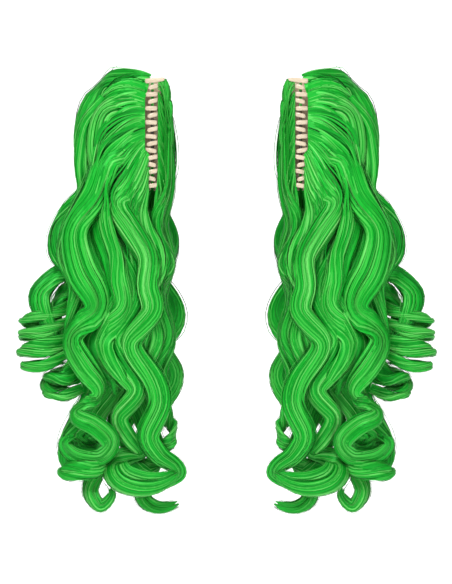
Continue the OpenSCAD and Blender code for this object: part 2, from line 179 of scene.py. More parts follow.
# Hair routes, close to the frame's own solids: name, angle of the weft track round the tunnel,
# height of the root, thickness, whether it rides the moving jaw, and points of x, y, z, width.
# The first three points of a lock in WRAPPED_STARTS wrap over the edge of the jaw.
LOCKS = (
    ("long_front_lock", 205, 6, 9, False, (
        (-6.6, -11.5, 2, 26), (-18, -15, -4, 28), (-32, -20, -16, 28),
        (-46, -23, -30, 26), (-58, -25, -62, 24), (-77, -26, -98, 24),
        (-70, -26, -136, 24), (-54, -26, -172, 22), (-78, -27, -204, 22), (-66, -27, -232, 20),
        (-51, -26, -256, 18), (-74, -26, -278, 14), (-56, -26, -289, 15), (-41, -23, -305, 15),
        (-51, -17, -321, 15), (-74, -13, -321, 15), (-87, -9, -308, 13), (-76, -6, -297, 12))),
    ("crown_lock", 205, 34, 9, False, (
        (-6.6, -11.5, 34, 25), (-20, -13, 36, 28), (-38, -13, 32, 28),
        (-54, -11, 14, 24), (-58, -10, -18, 22), (-51, -8, -50, 22),
        (-53, -9, -86, 22), (-38, -12, -124, 22), (-22, -14, -160, 21), (-41, -15, -202, 20),
        (-32, -15, -230, 20), (-14, -16, -256, 16), (-32, -12, -282, 16), (-22, -8, -304, 14),
        (-10, -2, -318, 11), (-24, 4, -322, 14), (-37, -3, -332, 18), (-28, -15, -344, 19),
        (-8, -20, -349, 20), (11, -20, -346, 18), (24, -14, -339, 14), (31, -6, -334, 9))),
    ("cheek_lock", 205, -24, 9, False, (
        (-6.8, -11.8, -16, 12), (-15, -14.5, -31, 18), (-24, -18, -50, 21),
        (-35, -20, -72, 20), (-18, -21, -100, 20), (-4, -21, -124, 18),
        (-5, -21, -152, 18), (1, -22, -178, 18), (-20, -22, -210, 18), (2, -23, -244, 18),
        (8, -23, -269, 18), (-4, -22, -300, 17), (8, -19, -321, 14), (22, -11, -330, 12),
        (26, -3, -341, 12), (6, 3, -352, 13), (-18, 3, -362, 13))),
    ("top_crown_lock", 172, 46, 10, False, (
        (-0.5, -9.6, 57.8, 2), (-12, -9.4, 58.8, 8), (-28, -3, 55, 18),
        (-45, 5, 47, 24), (-59, 5, 24, 24), (-66, 5, -2, 22),
        (-64, 5, -32, 20), (-65, 5, -54, 20), (-80, 5, -76, 22), (-92, 4, -96, 22),
        (-90, 3, -116, 20), (-84, 2, -134, 15), (-98, 1, -145, 16), (-111, -1, -163, 20),
        (-104, -3, -188, 16), (-95, -2, -204, 14))),
    ("temple_lock", 172, 20, 10, False, (
        (-32, 10, 20, 22), (-50, 17, -8, 22), (-56, 19, -45, 20), (-68, 20, -80, 20),
        (-74, 20, -112, 20), (-60, 19, -145, 20), (-70, 17, -178, 20), (-58, 15, -208, 20),
        (-74, 12, -236, 18), (-97, 9, -243, 14), (-106, 4, -254, 10), (-86, 1, -261, 12))),
    ("under_lock", 172, -9, 10, False, (
        (-30, 4, -16, 20), (-42, 4, -54, 20), (-34, 5, -92, 20), (-36, 4, -128, 20),
        (-48, 3, -162, 20), (-34, 3, -196, 20), (-26, 3, -226, 20), (-42, 5, -256, 20),
        (-58, 10, -290, 20), (-48, 15, -320, 16), (-58, 13, -342, 13), (-62, 11, -360, 12),
        (-51, 8, -373, 11), (-40, 5, -361, 10), (-46, 3, -349, 9))),
    ("nape_lock", 172, -38, 10, False, (
        (-26, 9, -56, 15), (-13, 15, -86, 18), (-22, 18, -118, 18), (-10, 18, -150, 18),
        (-22, 18, -185, 18), (-8, 18, -220, 18), (-20, 18, -255, 18), (-8, 17, -290, 18),
        (4, 16, -320, 16), (-8, 14, -348, 13), (-10, 11, -365, 12), (2, 8, -374, 12),
        (18, 5, -373, 12), (33, 3, -365, 13))),
    ("back_crown_lock", 140, 40, 10, False, (
        (-21, 22, 50, 18), (-14, 43, 48, 20), (-1, 56, 34, 22), (9, 61, 6, 22),
        (12, 61, -32, 22), (2, 61, -68, 22), (16, 61, -105, 22), (2, 60, -145, 22),
        (18, 60, -180, 22), (4, 58, -215, 20), (18, 56, -245, 20), (6, 52, -280, 18),
        (14, 46, -305, 14))),
    ("back_middle_lock", 140, 14, 10, False, (
        (-25, 25, 18, 20), (-32, 44, 4, 22), (-30, 57, -25, 22), (-22, 62, -60, 22),
        (-34, 62, -95, 22), (-20, 62, -130, 22), (-36, 60, -170, 22), (-20, 58, -205, 22),
        (-36, 56, -240, 20), (-22, 52, -275, 18), (-32, 46, -310, 14))),
    ("back_side_lock", 140, -13, 10, False, (
        (-30, 22, -18, 20), (-52, 34, -42, 22), (-64, 40, -80, 22), (-50, 42, -115, 22),
        (-66, 42, -150, 22), (-52, 40, -185, 22), (-70, 38, -220, 22), (-60, 34, -255, 20),
        (-72, 30, -287, 18), (-89, 27, -312, 15), (-87, 25, -333, 14), (-66, 24, -341, 14))),
    ("back_nape_lock", 140, -40, 10, False, (
        (-24, 24, -52, 18), (-36, 36, -85, 20), (-26, 40, -115, 20), (-38, 42, -150, 20),
        (-26, 42, -185, 20), (-40, 40, -220, 20), (-26, 38, -255, 20), (-38, 36, -290, 18),
        (-24, 30, -325, 14))),
    ("fringe_lock", 208, 30, 7, True, (
        (16.8, -9.2, 24, 7), (16.2, -10.4, 8, 5), (16, -10.2, -20, 5), (15, -10, -54, 5),
        (4, -7, -80, 10), (6, -7, -102, 10), (15, -6, -126, 12), (6, -6, -150, 12),
        (7, -6, -175, 12), (15, -6, -203, 12), (4, -6, -232, 12), (7, -6, -252, 9))),
    ("side_lock", 170, 32, 9, True, (
        (19, 2.5, 24, 6), (18.6, 2, 8, 5), (18.4, 2, -20, 5), (18, 4, -52, 5), (7, 7, -84, 10),
        (9, 7, -106, 12), (18, 7, -130, 12), (8, 7, -155, 12), (10, 7, -180, 12),
        (18, 7, -206, 12), (8, 7, -238, 12), (12, 7, -266, 12), (6, 7, -296, 9))),
    ("rear_side_lock", 132, -4, 11, True, (
        (15, 17, -10, 8), (17, 22, -26, 9), (17, 26, -55, 10), (10, 26, -90, 12),
        (17, 26, -125, 12), (8, 26, -165, 12), (17, 26, -200, 12), (9, 25, -235, 12),
        (14, 23, -262, 9))),
)

# The directions in which the front locks leave the jaw's edge, from the top down
WRAPPED_STARTS = {
    "top_crown_lock": (-1, 0.1, 0.25), "crown_lock": (-1, -0.05, 0.12),
    "long_front_lock": (-0.85, -0.1, -0.5), "cheek_lock": (-0.75, -0.15, -0.65),
}
# Locks whose roots spread along the jaw's edge
BROAD_ROOTS = ("crown_lock", "long_front_lock")
# Strands that lie half way between two locks: their owner, the neighbour, the share of the
# neighbour, how far back they lie, and where they start and end in height
BETWEEN = (
    ("long_front_lock", "crown_lock", 0.5, 5, 10, -262),
    ("long_front_lock", "cheek_lock", 0.5, 4, -30, -258),
    ("crown_lock", "cheek_lock", 0.45, 5, -30, -262),
    ("temple_lock", "long_front_lock", 0.5, 4, 0, -225),
    ("under_lock", "nape_lock", 0.5, 2, -60, -300),
    ("back_crown_lock", "back_middle_lock", 0.5, 0, 14, -290),
    ("back_middle_lock", "back_side_lock", 0.5, 0, -10, -290),
)
# Further strands of a lock, as its owner, thickness and points of x, y, z, width
EXTRA = (
    ("side_lock", 5, (
        (8.8, -9.8, 53, 5), (13.4, -8, 49, 9), (14.6, -7, 38, 9), (14, -7.6, 20, 7),
        (13.6, -8, 0, 6), (13.8, -8, -26, 6), (14, -8, -54, 7), (9, -6, -80, 8),
        (8, -6, -100, 8))),
    ("back_crown_lock", 8, (
        (-19, 24, 53, 10), (-10, 42, 54, 14), (1, 53, 50, 16), (10, 57, 36, 16),
        (14, 57, 12, 14), (14, 57, -20, 10))),
    ("cheek_lock", 7, (
        (-7.2, -11.9, -32, 12), (-13, -14, -48, 18), (-21, -17, -68, 21), (-22, -19, -88, 21),
        (-11, -20, -110, 20), (-2, -20, -132, 19), (-5, -20, -156, 18), (-2, -20, -180, 16),
        (-10, -17, -206, 14), (-6, -9, -228, 9))),
    ("cheek_lock", 7, (
        (-7.4, -11.9, -48, 9), (-9, -13, -60, 14), (-13, -14, -78, 18), (-8, -15, -98, 19),
        (3, -15, -118, 19), (6, -15, -138, 18), (-2, -15, -160, 17), (0, -15, -184, 16),
        (5, -15, -206, 15), (-4, -12, -232, 13), (-2, -4, -254, 9))),
    ("top_crown_lock", 8, (
        (-70, 8, -132, 10), (-80, 8, -150, 15), (-94, 8, -166, 17), (-99, 7, -184, 17),
        (-92, 7, -204, 17), (-80, 8, -222, 14), (-72, 9, -236, 10))),
    ("long_front_lock", 8, (
        (-84, 8, -304, 12), (-72, 9, -308, 17), (-56, 9, -308, 18), (-42, 8, -304, 14))),
    ("nape_lock", 8, (
        (-38, 6, -322, 12), (-24, 7, -332, 17), (-8, 7, -334, 18), (8, 6, -330, 12))),
    ("long_front_lock", 7, (
        (-24, -16, -22, 8), (-40, -17, -58, 14), (-46, -17, -92, 16), (-38, -17, -122, 16),
        (-29, -18, -150, 16), (-44, -19, -184, 16), (-52, -19, -212, 15), (-40, -15, -240, 14),
        (-36, -6, -264, 9))),
    ("crown_lock", 7, (
        (-48, -8, 36, 10), (-68, -8, 8, 14), (-72, -8, -30, 16), (-68, -12, -62, 16),
        (-84, -16, -96, 15), (-88, -16, -122, 14), (-76, -16, -150, 14), (-80, -14, -178, 12),
        (-88, -10, -204, 10))),
)
# Curl ends that coil round an upright axis: the lock they belong to, thickness, and points of
# x, y, z, width
COILS = (
    ("long_front_lock", 6, (
        (-44, -3, -298, 12), (-56, -1, -292, 13), (-72, 0, -299, 12), (-73, -1, -312, 12),
        (-60, -2, -318, 12), (-48, -2, -310, 12), (-52, -3, -301, 11), (-64, -3, -304, 11),
        (-60, -3, -310, 8))),
    ("top_crown_lock", 8, (
        (-84, 6, -172, 12), (-96, -3, -178, 13), (-110, -7, -182, 13), (-123, -5, -184, 11),
        (-130, 2, -187, 9), (-123, 9, -190, 9), (-104, 12, -192, 9), (-84, 11, -196, 8))),
    ("top_crown_lock", 8, (
        (-82, 5, -186, 13), (-95, -4, -193, 14), (-110, -9, -198, 14), (-124, -6, -199, 11),
        (-132, 2, -201, 8), (-126, 10, -204, 9), (-106, 12, -206, 9), (-84, 11, -208, 8))),
    ("top_crown_lock", 10, (
        (-80, 5, -204, 15), (-94, -4, -210, 18), (-109, -9, -214, 18), (-122, -7, -216, 16),
        (-131, 1, -217, 13), (-123, 10, -217, 13), (-102, 12, -216, 12), (-82, 11, -218, 10))),
    ("top_crown_lock", 8, (
        (-80, 4, -218, 13), (-94, -4, -226, 14), (-108, -8, -231, 13), (-121, -5, -232, 11),
        (-130, 2, -232, 8), (-123, 9, -231, 9), (-104, 10, -229, 8), (-84, 10, -230, 7))),
    ("temple_lock", 10, (
        (-66, 12, -222, 18), (-84, -2, -240, 20), (-98, -3, -243, 17), (-106, 4, -246, 12),
        (-99, 12, -250, 12), (-80, 12, -254, 10))),
    ("temple_lock", 7, (
        (-70, 4, -254, 10), (-88, -2, -262, 11), (-101, -1, -262, 9), (-108, 4, -260, 6),
        (-102, 9, -257, 7), (-84, 9, -254, 6))),
    ("long_front_lock", 10, (
        (-40, 0, -322, 16), (-58, -9, -334, 19), (-78, -8, -337, 18), (-90, 0, -338, 13),
        (-82, 8, -339, 13), (-62, 9, -340, 10))),
    ("side_lock", 9, (
        (9, 7, -264, 14), (15, 4, -282, 18), (21, -2, -294, 17), (19, -9, -306, 15),
        (8, -8, -314, 13), (0, -1, -312, 10))),
)


class HairSettings(bpy.types.PropertyGroup):
    """Sizes and colours of the hair."""

    deep: FloatVectorProperty(
        name="Deep Colour", description="Colour in the hair's shaded depth", subtype="COLOR",
        size=3, default=(0.002, 0.10, 0.008))
    middle: FloatVectorProperty(
        name="Middle Colour", description="Main colour of the strands", subtype="COLOR",
        size=3, default=(0.002, 0.32, 0.016))
    # The bright colour is partly the lighter strands' own colour and partly a painted highlight.
    bright: FloatVectorProperty(
        name="Bright Colour", description="Colour of the lightest strands", subtype="COLOR",
        size=3, default=(0.19, 0.60, 0.15))
    strand_width: FloatProperty(
        name="Strand Width", description="Width of one flattened strand", unit="LENGTH",
        default=0.0020)
    ribbon_strands: IntProperty(
        name="Strands", description="Flattened strands in one clump", default=19)
    fine_strands: IntProperty(
        name="Fine Strands", description="Thin strands that lie loosely on a clump", default=8)
    fullness: FloatProperty(
        name="Fullness", description="Width of a lock against its stand-in solid", default=1.2)
    depth_swing: FloatProperty(
        name="Curl Depth", description="How far a wave swings forwards and back",
        unit="LENGTH", default=0.007)
    roll: FloatProperty(
        name="Curl Roll", description="How far a lock rolls over in a bend", unit="ROTATION",
        default=math.radians(58))
    twist: FloatProperty(
        name="Twist", description="Turns of the clumps round each other over a lock",
        default=0.5)


class ClipSettings(bpy.types.PropertyGroup):
    """Colours of the clips and their trimmings."""

    plastic: FloatVectorProperty(
        name="Plastic", description="Colour of the moulded jaws", subtype="COLOR", size=3,
        default=(0.56, 0.46, 0.33))
    edge_round: FloatProperty(
        name="Edge Rounding", description="Radius along the jaws' edges", unit="LENGTH",
        default=0.0007)
    ribbon: FloatVectorProperty(
        name="Ribbon", description="Colour of the tape under the hair", subtype="COLOR", size=3,
        default=(0.30, 0.15, 0.06))
    thread: FloatVectorProperty(
        name="Thread", description="Colour of the sewing thread", subtype="COLOR", size=3,
        default=(0.36, 0.20, 0.09))


class StageSettings(bpy.types.PropertyGroup):
    """The floor, backdrop and lights."""

    floor_drop: FloatProperty(
        name="Floor Drop", description="Gap from the lowest curl down to the floor",
        unit="LENGTH", default=0.16)
    key_power: FloatProperty(
        name="Key Light", description="Power of the main soft light", unit="POWER", default=40.0)
    world_light: FloatProperty(
        name="Room Light", description="Strength of the even white light", default=0.45)


# Mesh helpers


def placed(name, data):
    """A new object in the scene that shows this data."""
    made = bpy.data.objects.new(name, data)
    bpy.context.scene.collection.objects.link(made)
    return made


def new_object(name, vertices, faces, uvs=None, tones=None):
    """A smooth mesh object at the origin. Faces is a list of index arrays, a row for each face."""
    mesh = bpy.data.meshes.new(name)
    mesh.vertices.add(len(vertices))
    mesh.vertices.foreach_set("co", np.ascontiguousarray(vertices, np.float32).ravel())
    corners = np.concatenate([f.ravel() for f in faces]).astype(np.int32)
    sizes = np.concatenate([np.full(len(f), f.shape[1], np.int32) for f in faces])
    starts = np.concatenate([[0], np.cumsum(sizes)[:-1]]).astype(np.int32)
    mesh.loops.add(len(corners))
    mesh.loops.foreach_set("vertex_index", corners)
    mesh.polygons.add(len(sizes))
    mesh.polygons.foreach_set("loop_start", starts)
    mesh.update(calc_edges=True)
    if uvs is not None:
        layer = mesh.uv_layers.new(name="strands")
        layer.uv.foreach_set("vector", np.ascontiguousarray(uvs, np.float32).ravel())
    if tones is not None:
        attribute = mesh.attributes.new("tone", "FLOAT", "POINT")
        attribute.data.foreach_set("value", np.ascontiguousarray(tones, np.float32))
    mesh.polygons.foreach_set("use_smooth", np.full(len(sizes), True))
    mesh.update()
    if mesh.validate():
        raise RuntimeError(f"{name} has broken faces")
    return placed(name, mesh)


def smoothstep(t):
    """Rises from 0 to 1 with level ends, as the cubic 3tt - 2ttt of t held to 0 and 1."""
    u = np.clip(t, 0, 1)
    return u * u * (3 - 2 * u)


def unit(vectors):
    """Vectors scaled to length one."""
    return vectors / np.maximum(np.linalg.norm(vectors, axis=-1, keepdims=True), 1e-9)


def square_to(vectors, heading):
    """The part of vectors at right angles to a heading, scaled to length one."""
    return unit(vectors - heading * (vectors * heading).sum(-1, keepdims=True))


def sample(values, at):
    """Rows of an array at fractional row numbers, joined by straight lines."""
    low = np.clip(at.astype(int), 0, len(values) - 2)
    part = (at - low)[..., None]
    return values[low] * (1 - part) + values[low + 1] * part


def blurred(values, width):
    """A running mean along the first axis, with the ends held."""
    padded = np.pad(values, ((width, width), (0, 0)), mode="edge")
    total = np.cumsum(padded, axis=0)
    span = 2 * width
    return (total[span:] - total[:-span])[: len(values)] / span


def tube_faces(tubes, rings, sides):
    """Side quads and end caps for equal closed tubes stored as tube, ring, side."""
    tube = np.arange(tubes)[:, None, None] * rings * sides
    ring = np.arange(rings - 1)[None, :, None] * sides
    side = np.arange(sides)[None, None, :]
    after = (side + 1) % sides
    a = tube + ring + side
    b = tube + ring + after
    quads = np.stack([a, a + sides, b + sides, b], axis=-1).reshape(-1, 4)
    first = np.arange(tubes)[:, None] * rings * sides + np.arange(sides)[None, :]
    last = first[:, ::-1] + (rings - 1) * sides
    return quads, np.concatenate([first, last])


def tube_uvs(lengths, strand_ids, sides):
    """UVs to match tube_faces: u runs round each strand from its own whole number, v along it.

    A core's u runs over as many strands as it has sides.
    """
    tubes, rings = lengths.shape
    repeat = 1 if sides == STRAND_SIDES else sides
    u0 = np.arange(sides) / sides * repeat
    u1 = u0 + repeat / sides
    quads = np.zeros((tubes, rings - 1, sides, 4, 2))
    base = strand_ids[:, None, None]
    quads[..., 0, 0] = quads[..., 1, 0] = base + u0
    quads[..., 2, 0] = quads[..., 3, 0] = base + u1
    quads[..., 0, 1] = quads[..., 3, 1] = lengths[:, :-1, None]
    quads[..., 1, 1] = quads[..., 2, 1] = lengths[:, 1:, None]
    caps = np.zeros((2, tubes, sides, 2))
    caps[..., 0] = strand_ids[None, :, None]
    caps[0, ..., 1] = lengths[:, :1]
    caps[1, ..., 1] = lengths[:, -1:]
    return quads.reshape(-1, 4, 2), caps.reshape(-1, sides, 2)


# Hair


def through_points(points, out, steps):
    """A cubic curve through every point, leaving the first one in the direction given.

    The slope at a point is half the step from the point before to the point after.
    """
    slopes = np.empty_like(points)
    slopes[1:-1] = (points[2:] - points[:-2]) / 2
    slopes[-1] = points[-1] - points[-2]
    slopes[0] = 0
    slopes[0, :3] = out * np.linalg.norm(points[1, :3] - points[0, :3])
    t = (np.arange(steps) / steps)[None, :, None]
    a, b = points[:-1, None], points[1:, None]
    sa, sb = slopes[:-1, None], slopes[1:, None]
    curve = ((2 * t**3 - 3 * t**2 + 1) * a + (t**3 - 2 * t**2 + t) * sa
             + (3 * t**2 - 2 * t**3) * b + (t**3 - t**2) * sb)
    return np.concatenate([curve.reshape(-1, 4), points[-1:]])


def strand_curve(points, steps):
    """A curve through a table's points in millimetres, and the direction in which it starts."""
    points = np.array(points) * MM
    out = unit(points[1, :3] - points[0, :3])
    return through_points(points, out, steps), out


def lock_named(name):
    """The row of LOCKS with this name."""
    return next(lock for lock in LOCKS if lock[0] == name)


def lock_curve(lock):
    """A lock's centre line and width, and the direction in which it leaves its root."""
    name, track, root_z, _, moving, route = lock
    if name in WRAPPED_STARTS:
        out = unit(np.array(WRAPPED_STARTS[name], float))
        points = np.array(route) * MM
    else:
        turn = math.radians(180 - track if moving else track)
        out = np.array([math.cos(turn), math.sin(turn), 0])
        root = (*(ROOT_R_MM * out[:2]), root_z, ROOT_WIDTH_MM[moving])
        points = np.array([root, *route]) * MM
    return through_points(points, out, RING_STEPS), out


def lock_frame(curve, out, moving, hair, wrapped=False):
    """A lock's line, and the directions across its width and out of its front face.

    The centre line swings forwards where it heads right and back where it heads left, which
    makes a wave a helix. The front face looks forwards, and rolls outwards in a bend by an
    angle that grows with the bend's tightness. A wrapped root spreads up and down the jaw.
    """
    line = curve[:, :3].copy()
    ahead = unit(np.gradient(line, axis=0))
    free = smoothstep((-0.055 - line[:, 2]) / 0.04) if moving else smoothstep(
        (np.linalg.norm(line[:, :2], axis=1) - 0.022) / 0.03)
    line[:, 1] -= (blurred(ahead, 3)[:, 0] * hair.depth_swing * free
                   * np.clip(curve[:, 3] / 0.014, 0.4, 1))
    line[4:-2] = blurred(line, 1)[4:-2]
    ahead = unit(np.gradient(line, axis=0))
    ahead[0] = out
    step = np.linalg.norm(np.gradient(line, axis=0), axis=1)[:, None]
    bend = blurred(np.gradient(ahead, axis=0) / step, 3)
    strength = np.tanh(np.linalg.norm(bend, axis=1) * BEND_ROLL)[:, None] * free[:, None]
    late = 1 - 0.5 * smoothstep((np.linspace(0, 1, len(line)) - 0.6) / 0.2)[:, None]
    angle = strength * hair.roll * late
    face = square_to(FORWARD, ahead) * np.cos(angle) + unit(-bend) * np.sin(angle)
    face = square_to(face, ahead)
    across = np.cross(face, ahead)
    if wrapped:
        gone = np.cumsum(step[:, 0])[:, None] - step[0, 0]
        part = 1 - smoothstep(gone / 0.032)
        across = unit(across * (1 - part) - UP * part)
    return line, across, face


def coil_frame(curve):
    """The same for a coil: its width stays as upright as its heading allows."""
    line = curve[:, :3]
    ahead = unit(np.gradient(line, axis=0))
    across = square_to(-UP, ahead)
    return line, across, np.cross(ahead, across)


def strand_set(rng, count, inner, outer, width, early):
    """Where strands lie in a clump's cross-section, as one record of arrays.

    They are spread evenly round it and start and end a little apart.
    """
    around = 2 * math.pi * (np.arange(count) + rng.uniform(-0.4, 0.4, count)) / count
    deep = rng.uniform(inner, outer, count)
    return {
        "p": deep * np.cos(around), "q": deep * np.sin(around),
        "wide": width * rng.uniform(0.7, 1.3, count),
        "thin": STRAND_THICK * rng.uniform(0.8, 1.2, count),
        "start": rng.uniform(0, 0.008, count),
        "end": 1 - early * rng.uniform(0, 1, count) ** 2,
        "phase": rng.uniform(0, 2 * math.pi, (2, count)),
        "pace": rng.uniform(1.0, 3.5, (2, count)),
        # A strand's tone is random, plus painted shade: darker the nearer it lies to the clump's
        # centre, lighter further out.
        "tone": rng.normal(0, 1, count) + 1.2 * (deep - 0.9),
    }


def taper(t, root, opened, tip, closes):
    """A strand's width along it, as a share: root at its start, full between, tip at its end."""
    return (root + (1 - root) * smoothstep(t / opened)) * (
        1 - (1 - tip) * smoothstep((t - closes) / (1 - closes)))


def clump_shapes(shape, count, twist, rng):
    """Splits a lock into clumps that wind round each other.

    A clump's centre circles the lock's centre, scaled to the lock's half width and half
    thickness, and its cross-section also rocks on a slow sine wave.
    """
    line, across, face, half_w, half_t, length = shape
    t = np.linspace(0, 1, len(line))
    turn0 = rng.uniform(0, 2 * math.pi)
    for i in range(count):
        wave = rng.uniform(0, 2 * math.pi, 3)
        turn = turn0 + 2 * math.pi * (i / count + twist * t) + 0.5 * np.sin(
            2 * math.pi * 1.7 * t + wave[0])
        reach = CLUMP_REACH + 0.08 * np.sin(2 * math.pi * 2.3 * t + wave[1])
        reach = reach * (1 - 0.55 * smoothstep((t - 0.86) / 0.14))
        p, q = reach * np.cos(turn), 0.75 * reach * np.sin(turn)
        rock = (0.22 * np.sin(2 * math.pi * 1.4 * t + wave[2]))[:, None]
        ax = across * np.cos(rock) + face * np.sin(rock)
        fc = face * np.cos(rock) - across * np.sin(rock)
        centre = line + across * (half_w * p)[:, None] + face * (half_t * q)[:, None]
        tip = 1 - 0.30 * smoothstep((t - 0.85) / 0.15)
        yield centre, ax, fc, half_w * CLUMP_WIDTH * tip, half_t * CLUMP_DEPTH * tip, length


def grow_strands(shape, strands, wander, relief):
    """Flattened tubes that follow a clump.

    A strand's place is the clump's centre plus its two cross-section numbers times the clump's
    half width and half thickness. The pair turns slowly round the centre along the clump and
    wanders on two sine waves. Its wide side lies along the clump's surface. The shading normals
    follow the clump, and lean sideways on a strand's edges by the relief.
    """
    line, across, face, half_w, half_t, length = shape
    rings = len(line)
    t = np.linspace(0, 1, rings)[None, :]
    run = strands["start"][:, None] + (strands["end"] - strands["start"])[:, None] * t
    at = run * (rings - 1)
    waves = np.sin(2 * math.pi * run * strands["pace"][..., None] + strands["phase"][..., None])
    grown = smoothstep(run / 0.1)
    turn = 2 * math.pi * STRAND_TURNS * run
    p = strands["p"][:, None] * np.cos(turn) - strands["q"][:, None] * np.sin(turn)
    q = strands["p"][:, None] * np.sin(turn) + strands["q"][:, None] * np.cos(turn)
    p, q = p + wander * waves[0] * grown, q + wander * waves[1] * grown
    a, b = sample(half_w[:, None], at)[..., 0], sample(half_t[:, None], at)[..., 0]
    ax, fc = sample(across, at), sample(face, at)
    centre = sample(line, at) + ax * (a * p)[..., None] + fc * (b * q)[..., None]
    around = np.arctan2(q, p)
    wide_axis = unit(ax * (-a * np.sin(around))[..., None] + fc * (b * np.cos(around))[..., None])
    thin_axis = unit(ax * (b * np.cos(around))[..., None] + fc * (a * np.sin(around))[..., None])
    scale = np.clip(a / 0.007, 0.4, 1.25) * taper(t, 0.35, 0.04, 0.25, 0.90) / 2
    wide, thin = strands["wide"][:, None] * scale, strands["thin"][:, None] * scale
    rim = (wide_axis[:, :, None] * (wide[..., None] * np.cos(CORNER))[..., None]
           + thin_axis[:, :, None] * (thin[..., None] * np.sin(CORNER))[..., None])
    vertices = (centre[:, :, None] + rim).reshape(-1, 3)
    lean = relief * wide_axis[:, :, None] * np.cos(CORNER)[:, None]
    flatter = fc * (0.45 * np.sign(q) * np.abs(np.sin(around)))[..., None]
    normals = unit((thin_axis + flatter)[:, :, None] + lean).reshape(-1, 3)
    tones = np.repeat(strands["tone"], rings * STRAND_SIDES)
    return vertices, normals, sample(length[:, None], at)[..., 0], tones


def grow_core(shape):
    """A clump's inner body: an ellipse drawn along it that closes to a blunt point."""
    line, across, face, half_w, half_t, length = shape
    t = np.linspace(0, 1, len(line))
    at = t * 0.985 * (len(line) - 1)
    close = np.sqrt(np.clip(1 - ((t - 0.95) / 0.05).clip(0, 1) ** 2, 0.01, 1))
    a, b = (sample(size[:, None], at) * close[:, None] for size in (half_w, half_t))
    ax, fc = sample(across, at)[:, None], sample(face, at)[:, None]
    corner = -np.arange(CORE_SIDES) * 2 * math.pi / CORE_SIDES
    cosine, sine = np.cos(corner)[:, None], np.sin(corner)[:, None]
    rim = (ax * a[:, None] * cosine + fc * b[:, None] * sine) * CORE_FILL
    normals = unit(ax * b[:, None] * cosine + fc * a[:, None] * sine).reshape(-1, 3)
    vertices = (sample(line, at)[:, None] + rim).reshape(-1, 3)
    # The core's tone is painted shade, darker than the strands round it.
    return vertices, normals, sample(length[:, None], at).T, np.full(len(vertices), CORE_SHADE_TONE)


def bundle_mesh(name, lock, seed, hair, mirror):
    """Builds one lock with its in-between strands, further strands and coils.

    A lock of the moving jaw lies flat on the jaw and fills out below it.
    """
    short, thickness, moving = lock[0], lock[3], lock[4]
    rng = np.random.default_rng(seed)
    curve, out = lock_curve(lock)
    line, across, face = lock_frame(curve, out, moving, hair, short in BROAD_ROOTS)
    on_jaw = smoothstep((line[:, 2] + 0.075) / 0.03) if moving else np.zeros(len(line))
    if short == "side_lock":
        line[:, 0] -= 0.0015 * on_jaw
    t = np.linspace(0, 1, len(line))
    fuller = hair.fullness - 1 + 0.22 * smoothstep((t - 0.6) / 0.2)
    half_w = curve[:, 3] / 2 * (1 + fuller * (0.35 if moving else 1))
    half_t = (thickness * MM / 2 * (0.16 + 0.99 * smoothstep(run_length(line) / 0.045))
              * (1 - 0.35 * smoothstep((t - 0.86) / 0.14)) * (1 - 0.35 * on_jaw))
    shape = (line, across, face, half_w, np.minimum(half_t, half_w * 1.1))
    density = 0.6 if moving else 0.85 if short.startswith("back") else 1.0
    parts = clump_parts(shape, 3, density, hair, rng)
    for owner, *row in BETWEEN:
        if owner == short:
            parts += clump_parts(between_shape(lock, *row, hair), 3, 0.8, hair, rng)
    for coiled, table in ((False, EXTRA), (True, COILS)):
        for owner, deep, points in table:
            if owner == short:
                shape = further_shape(points, deep, coiled, hair)
                parts += clump_parts(shape, 2 if coiled else 3, 0.85, hair, rng)
    return assemble(name, parts, mirror)


def further_shape(points, deep, coiled, hair):
    """The shape of further strands or a coil, which thicken from a thin start."""
    curve, out = strand_curve(points, RING_STEPS + coiled)
    line, across, face = coil_frame(curve) if coiled else lock_frame(curve, out, False, hair)
    half_t = deep * MM / 2 * (0.35 + 0.65 * smoothstep(np.linspace(0, 1, len(line)) / 0.15))
    return line, across, face, curve[:, 3] / 2, np.minimum(half_t, curve[:, 3] * 0.45)


def between_shape(lock, neighbour, share, back, top, bottom, hair):
    """A lock's shape part way between two neighbours: their centre lines mixed level by level."""
    level = np.linspace(top, bottom, BETWEEN_RINGS) * MM
    mixed = np.zeros((len(level), 4))
    for row, part in ((lock, 1 - share), (lock_named(neighbour), share)):
        curve, _ = lock_curve(row)
        low = np.minimum.accumulate(curve[:, 2]) - np.arange(len(curve)) * 1e-7
        mixed += part * sample(curve, np.interp(-level, -low, np.arange(len(curve))))
    mixed[:, 1] += back * MM
    mixed[:, 2] = level
    mixed = np.stack([np.convolve(np.pad(c, 2, mode="edge"), np.full(5, 0.2), "valid")
                      for c in mixed.T], 1)
    line, across, face = lock_frame(mixed, unit(mixed[1, :3] - mixed[0, :3]), False, hair)
    t = np.linspace(0, 1, len(line))
    shown = smoothstep(t / 0.10) * (1 - 0.6 * smoothstep((t - 0.9) / 0.1))
    line[:, 1] += 0.006 * (1 - smoothstep(t / 0.12)) + 0.008 * smoothstep((t - 0.85) / 0.15)
    return line, across, face, mixed[:, 3] / 2 * (0.25 + 0.8 * shown), 0.0012 + 0.0028 * shown


def run_length(line):
    """Distance along a line from its start to each of its points."""
    return np.concatenate([[0], np.cumsum(np.linalg.norm(np.diff(line, axis=0), axis=1))])


def spaced(shape):
    """The same lock with its run, on rings evenly apart in a sum of distance and turning."""
    line, across, face, half_w, half_t = shape
    step = np.linalg.norm(np.diff(line, axis=0), axis=1)
    ahead = unit(np.diff(line, axis=0))
    bend = np.arccos(np.clip((ahead[1:] * ahead[:-1]).sum(1), -1, 1))
    cost = step / RING_RUN + np.append(bend, 0) / RING_BEND
    total = np.concatenate([[0], np.cumsum(cost)])
    at = np.interp(np.linspace(0, total[-1], math.ceil(total[-1]) + 1), total,
                   np.arange(len(line)))
    return (sample(line, at), unit(sample(across, at)), unit(sample(face, at)),
            *(sample(row[:, None], at)[:, 0] for row in (half_w, half_t, run_length(line))))


